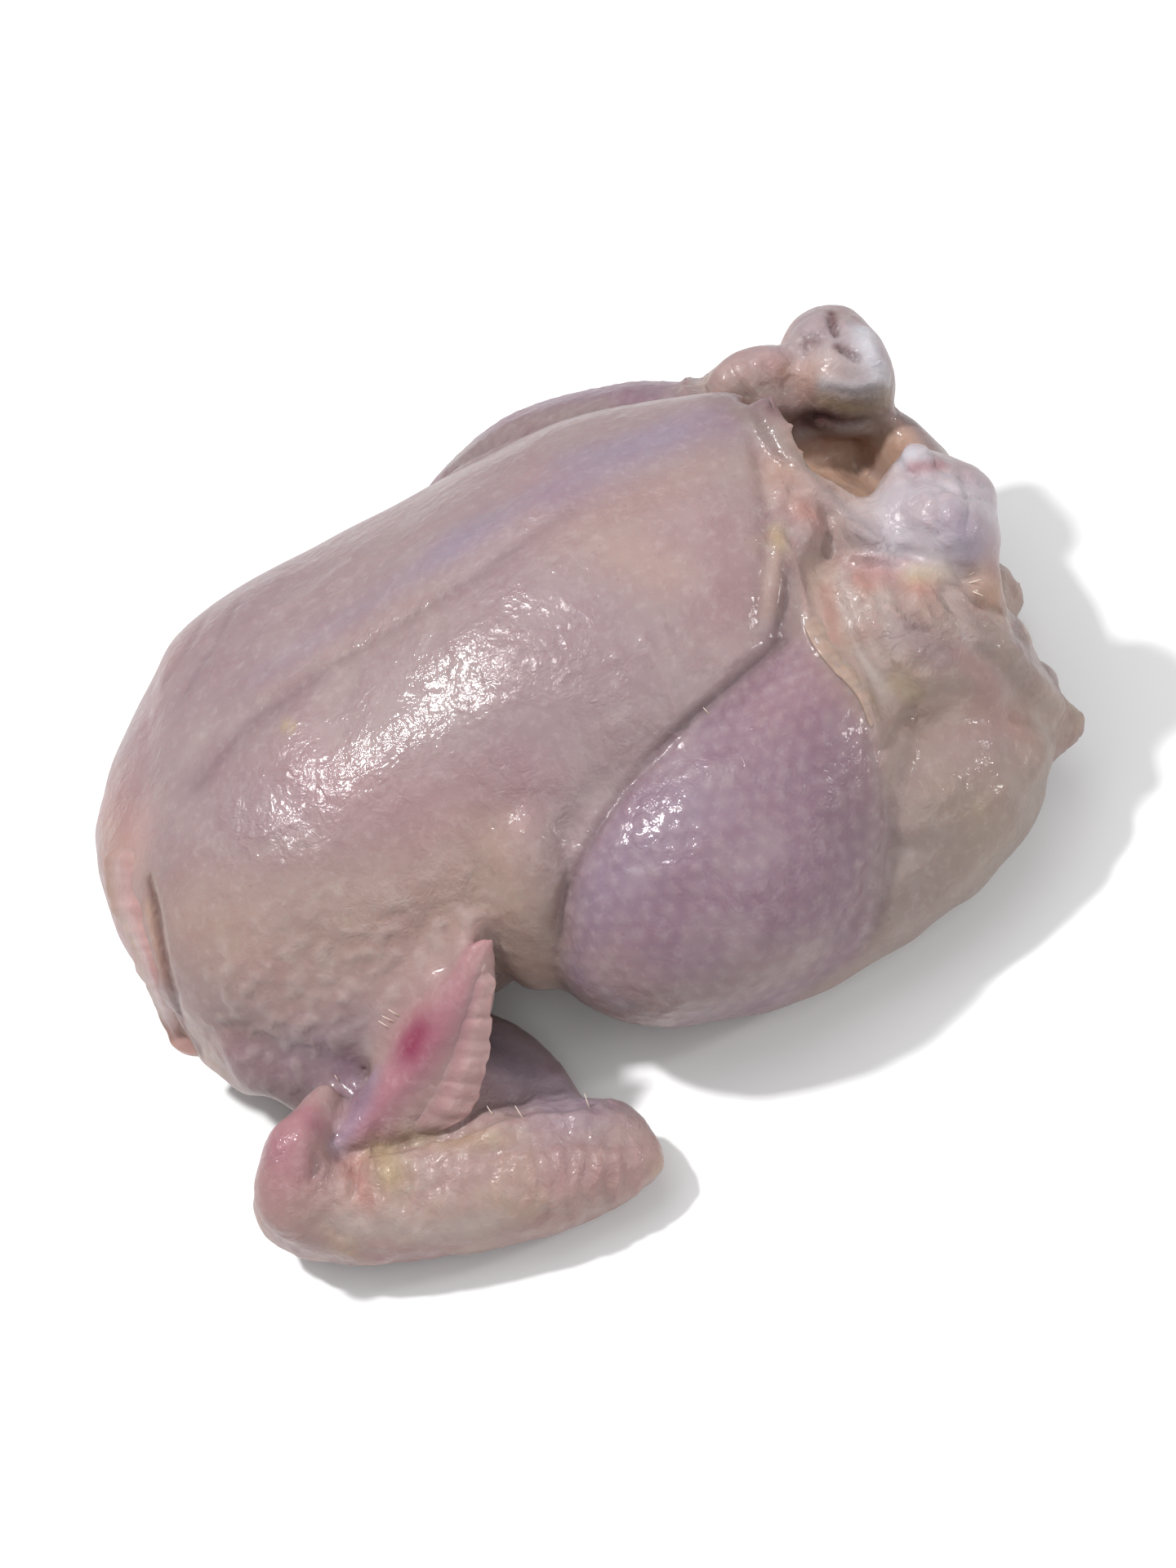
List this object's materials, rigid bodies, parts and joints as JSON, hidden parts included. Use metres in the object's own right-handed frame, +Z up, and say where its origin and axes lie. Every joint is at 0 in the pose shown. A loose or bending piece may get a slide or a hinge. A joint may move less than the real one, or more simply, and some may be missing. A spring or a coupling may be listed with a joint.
{
  "type": "whole raw chicken",
  "caption": "Plucked and drawn raw poultry carcass lying on its back, legs tucked in, wing folded on the table, body cavity open at the tail end.",
  "frame": {"origin": "on the table under the middle of the back's flat spot", "axes": "+X from the neck to the tail, +Y to the bird's left side, +Z up through the breast"},
  "size_m": [0.2421, 0.2324, 0.1002],
  "materials": {
    "skin": "wet raw skin"
  },
  "bodies": {
    "root": {"chicken": "skin"}
  },
  "joints": []
}
